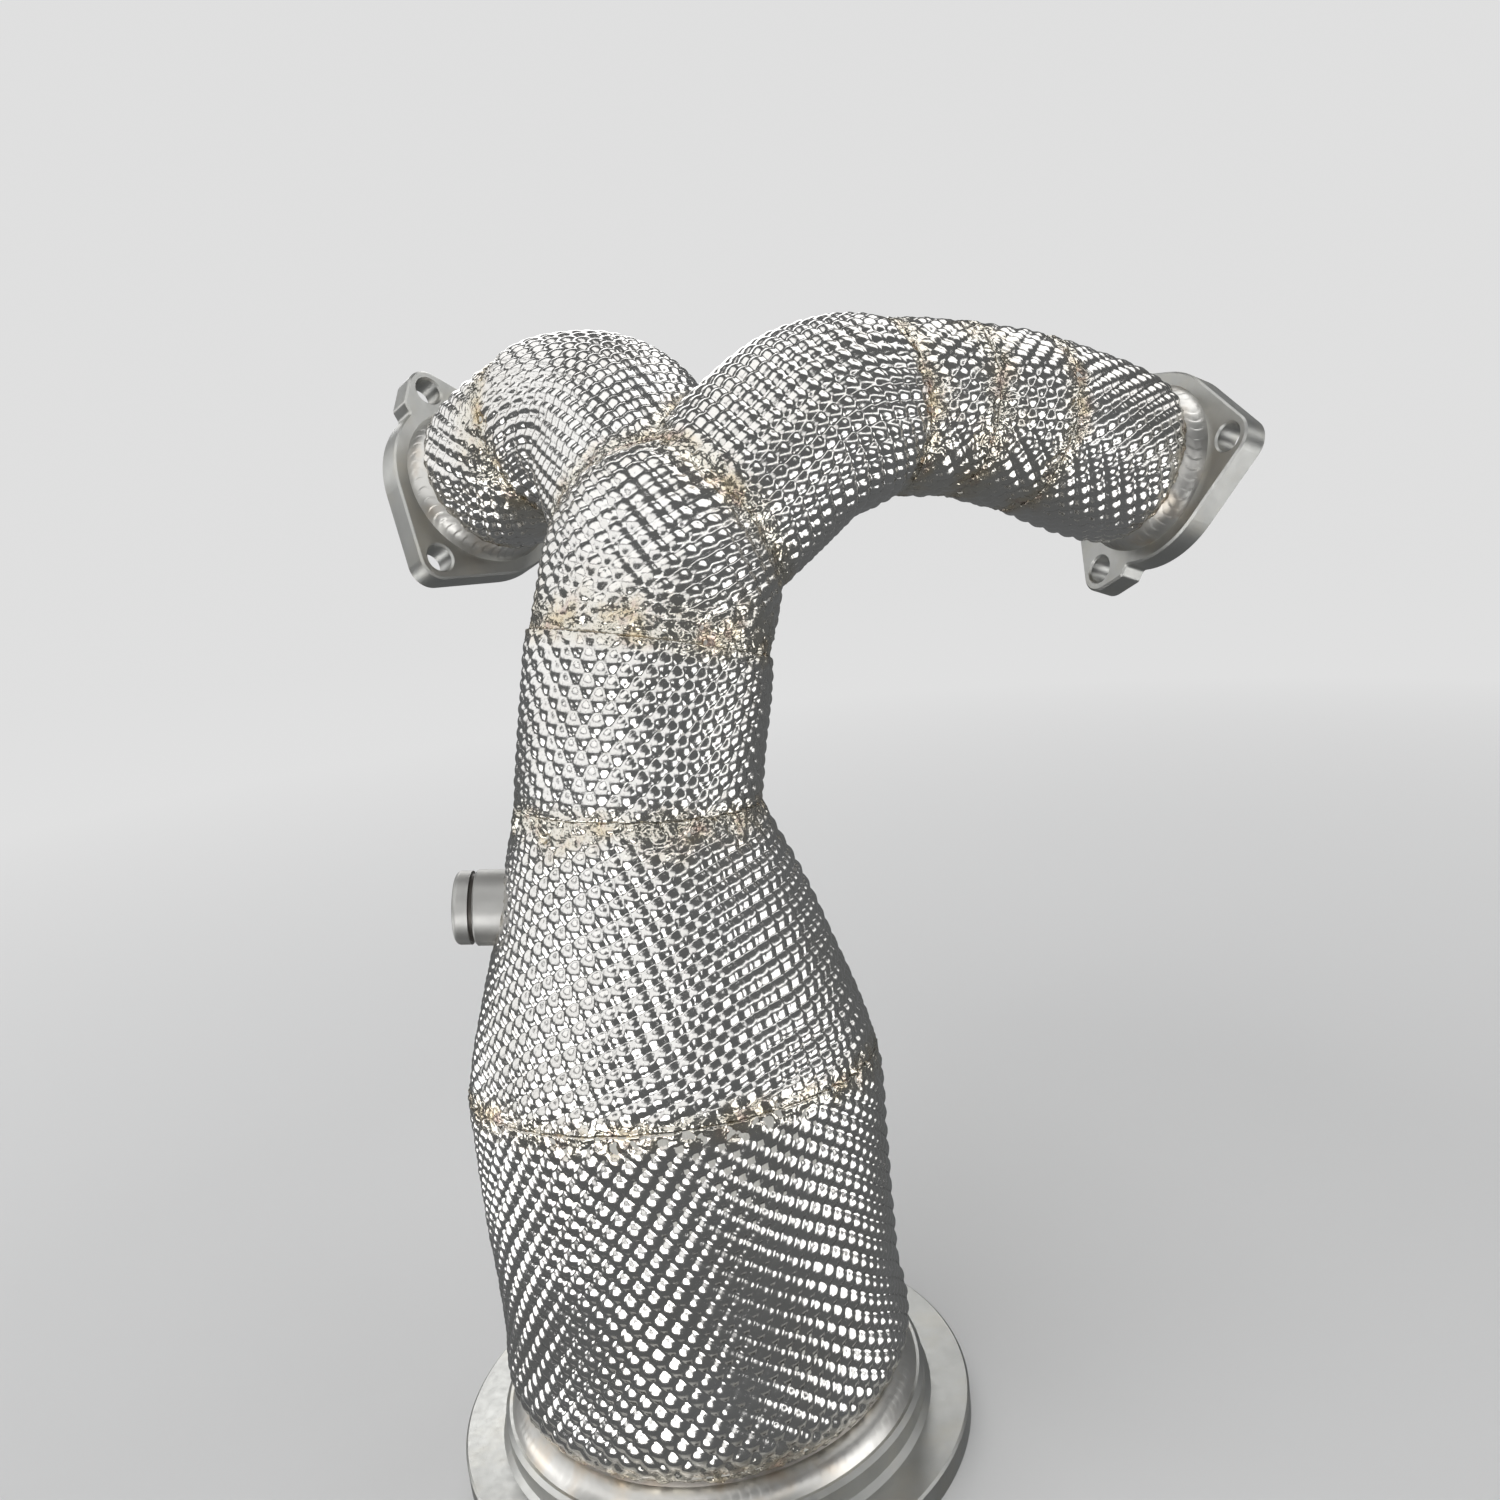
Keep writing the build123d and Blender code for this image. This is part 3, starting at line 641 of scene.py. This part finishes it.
ring_1_foil = foil(
    "foil_right_ring_1", [ring(*ring_1_seam, WAIST_R), ring(*ring_2_seam, WAIST_R + 0.3)],
    turn=38, crimp=(13, 11), rough=(0.9, 0.9), seed=81,
)
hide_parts("right_ring_1_shield")
ring_2_foil = foil(
    "foil_right_ring_2", [ring(*ring_2_seam, WAIST_R + 0.3), ring(*right_neck_seam, NECK_R)],
    turn=50, crimp=(11, 8), rough=(0.9, 0.9), seed=91,
)
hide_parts("right_ring_2_shield")


def neck_stations(seam, side, face, direction):
    """From the seam to the weld, where the sleeve closes in on the tube."""
    return [
        ring(*seam, NECK_R),
        ring(face - direction * 14.5, side, direction, NECK_R),
        ring(face - direction * 12.0, side, direction, NECK_R - 0.3),
        ring(face - direction * 8.6, side, direction, TUBE_R + 1.2),
    ]


for name, seam_at, side, face, direction, turn, crimp, seed in (
    ("right_neck", right_neck_seam, right_side, right_face, right_neck_heading, 40, (7, 7), 101),
    ("left_neck", left_neck_seam, left_side, left_face, left_neck_heading, 45, (15, 6), 111),
):
    sleeve = foil(
        f"foil_{name}", neck_stations(seam_at, side, face, direction),
        turn=turn, crimp=crimp, rough=(1.0, 0.9), seed=seed,
    )
    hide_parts(f"{name}_shield")


# ---- Weld beads ----
def weld_bead(name, centre, axis, profile, ripple, depth, seed):
    """A ring of overlapping weld ripples. The profile runs from one toe to the other."""
    x = unit(np.cross(axis, vec(0.3, 0.2, 0.93)))
    y = np.cross(axis, x)
    radius = profile[:, 0].mean()
    count = round(2 * math.pi * radius / ripple)
    columns = count * 16
    angle = np.linspace(0, 2 * math.pi, columns, endpoint=False)
    across = np.linspace(0, 1, len(profile))
    steps = np.gradient(profile, axis=0)
    outward = np.stack([steps[:, 1], -steps[:, 0]], axis=-1)
    outward /= np.linalg.norm(outward, axis=-1, keepdims=True)
    if outward[len(profile) // 2, 0] < 0:
        outward = -outward
    phase = angle[:, None] * count / (2 * math.pi) + 1.1 * (2 * across[None, :] - 1) ** 2
    wobble = np.stack([np.cos(angle) * radius, np.sin(angle) * radius, np.full_like(angle, seed)], -1)
    phase = phase + 0.35 * noise(wobble, 9.0, seed)[:, None]
    wave = 1 - (phase % 1.0) ** 1.6
    crown = np.sin(math.pi * across)[None, :]
    height = depth * (wave - 0.5) * crown + 0.12 * noise(wobble, 9.0, seed + 1)[:, None] * crown
    r = profile[None, :, 0] + outward[None, :, 0] * height
    z = profile[None, :, 1] + outward[None, :, 1] * height
    around = np.cos(angle)[:, None, None] * x + np.sin(angle)[:, None, None] * y
    points = centre + r[..., None] * around + z[..., None] * axis
    # Rows run round the ring, so the grid is transposed to close along them.
    grid = np.swapaxes(points, 0, 1)
    faces = grid_faces(len(profile), columns)
    return make_object(name, grid.reshape(-1, 3), faces, weld_steel)


def bead_profile(foot, top, bulge):
    """Convex curve from the flange toe to the tube toe, as (radius, height) points."""
    foot, top = np.array(foot, float), np.array(top, float)
    t = np.linspace(0, 1, 13)[:, None]
    chord = top - foot
    out = unit(np.array([abs(chord[1]), abs(chord[0])]) * np.sign([1, chord[1]]))
    return foot + chord * t + out * bulge * np.sin(math.pi * t)


outlet_profile = bead_profile((75.4, 19.0), (68.5, 26.0), 1.2)
outlet_bead = weld_bead("bead_outlet", vec(0, 0, 0), UP, outlet_profile, ripple=3.4, depth=0.05, seed=3)
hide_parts("outlet_weld")
inlet_profile = bead_profile((34.4, 0.0), (TUBE_R, -8.0), 0.7)
for name, face, direction, seed in (
    ("right", right_face, right_neck_heading, 5), ("left", left_face, left_neck_heading, 7),
):
    bead = weld_bead(f"bead_{name}", face, direction, inlet_profile, ripple=3.9, depth=0.20, seed=seed)
    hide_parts(f"{name}_flange_weld")

# ---- Floor, light and camera ----
floor_level = cad_box[0][2] - 0.0002


def stage_surface(name, profile):
    """Pale paper, brighter far out, turned round Z from (radius, height) points in metres."""
    turns = 128
    angle = np.linspace(0, 2 * math.pi, turns, endpoint=False)
    verts = [
        (r * math.cos(a), r * math.sin(a), z + floor_level) for r, z in profile for a in angle
    ]
    mesh = bpy.data.meshes.new(name)
    mesh.from_pydata(verts, [], grid_faces(len(profile), turns).tolist())
    for polygon in mesh.polygons:
        polygon.use_smooth = True
    surface = bpy.data.objects.new(name, mesh)
    bpy.context.scene.collection.objects.link(surface)
    material, tree, shader = new_material(name)
    where = add_node(tree, "ShaderNodeTexCoord").outputs["Object"]
    distance = add_node(tree, "ShaderNodeVectorMath", {0: where}, operation="LENGTH").outputs["Value"]
    far = remap(tree, distance, 0.35, 1.3, 0.0, 1.0)
    paper = mix_colour(tree, far, (0.62, 0.62, 0.62), (0.01, 0.01, 0.01))
    tree.links.new(paper, shader.inputs["Base Color"])
    shader.inputs["Roughness"].default_value = 0.95
    shader.inputs["Specular IOR Level"].default_value = 0.0
    shader.inputs["Emission Color"].default_value = (1, 1, 1, 1)
    tree.links.new(remap(tree, far, 0.0, 1.0, 0.08, 0.74), shader.inputs["Emission Strength"])
    mesh.materials.append(material)
    return surface


floor = stage_surface("floor", [(0.0005, 0), (0.3, 0), (0.6, 0), (1.0, 0)])
floor.visible_glossy = False
backdrop = stage_surface(
    "backdrop",
    [(1.0, 0), (1.8, 0), (2.4, 0), (2.8, 0.02), (3.1, 0.12), (3.3, 0.34), (3.4, 0.8), (3.4, 3.5)],
)
backdrop.visible_glossy = False
backdrop.visible_diffuse = False
backdrop.visible_shadow = False


def softbox(name, place, target, size, power, lights_floor=True):
    """A rectangular lamp that faces the target, unseen by the camera."""
    light = bpy.data.lights.new(name, "AREA")
    light.shape = "RECTANGLE"
    light.size, light.size_y = size
    light.energy = power
    lamp = bpy.data.objects.new(name, light)
    bpy.context.scene.collection.objects.link(lamp)
    lamp.location = place
    lamp.visible_camera = False
    lamp.visible_diffuse = lights_floor
    lamp.rotation_euler = (Vector(target) - Vector(place)).to_track_quat("-Z", "Y").to_euler()


middle = (0.04, 0.04, 0.2)
key_distance = 1.55
for name, azimuth in (("key_side", -108), ("key_left", -60), ("key_front", -14)):
    swing = math.radians(azimuth)
    place = (key_distance * math.sin(swing), -key_distance * math.cos(swing), 0.95)
    softbox(name, place, (0, 0, 0.35), (1.3, 0.9), 4.6)
# Small low cards that only the metal reflects.
softbox("card_left", (-0.22, -0.44, 0.05), (0, 0, 0.12), (0.34, 0.24), 1.1, False)
softbox("card_side", (-0.48, 0.0, 0.05), (0, 0, 0.12), (0.30, 0.20), 0.5, False)
softbox("card_right", (0.46, -0.20, 0.05), (0.12, 0, 0.3), (0.34, 0.24), 0.7, False)
# Overhead, along the right side and behind.
softbox("top", (-0.45, -0.3, 1.4), (0.05, 0.05, 0.3), (1.1, 0.9), 4.5)
softbox("right_near", (0.95, -1.2, 0.62), middle, (1.3, 0.26), 2.4)
softbox("right_far", (1.5, -0.1, 0.62), middle, (1.3, 0.26), 1.8)
softbox("top_right", (0.6, 0.3, 1.3), (0.12, 0.08, 0.33), (0.8, 0.8), 4)
softbox("back", (-0.3, 1.6, 1.0), middle, (1.1, 1.2), 10)

world = bpy.data.worlds.new("studio")
world.use_nodes = True
surroundings = world.node_tree.nodes["Background"]
surroundings.inputs["Color"].default_value = (0.95, 0.98, 1.0, 1)
surroundings.inputs["Strength"].default_value = 0.155
bpy.context.scene.world = world

# The camera looks along `view`, slightly down, and is rolled a little.
view = Vector((0, 0.9722, -0.2340)).normalized()
across = view.cross(Vector((0.1111, 0.2326, 0.9662))).normalized()
above = across.cross(view)
camera_data = bpy.data.cameras.new("camera")
camera_data.sensor_width = 36.0
camera_data.lens = 33.6
camera_data.clip_start = 0.01
camera_data.clip_end = 20
camera = bpy.data.objects.new("camera", camera_data)
bpy.context.scene.collection.objects.link(camera)
facing = Matrix((across, above, -view)).transposed().to_4x4()
camera.matrix_world = Matrix.Translation((0.03889, -0.45697, 0.36334)) @ facing
bpy.context.scene.camera = camera
bpy.context.scene.view_settings.view_transform = "Standard"
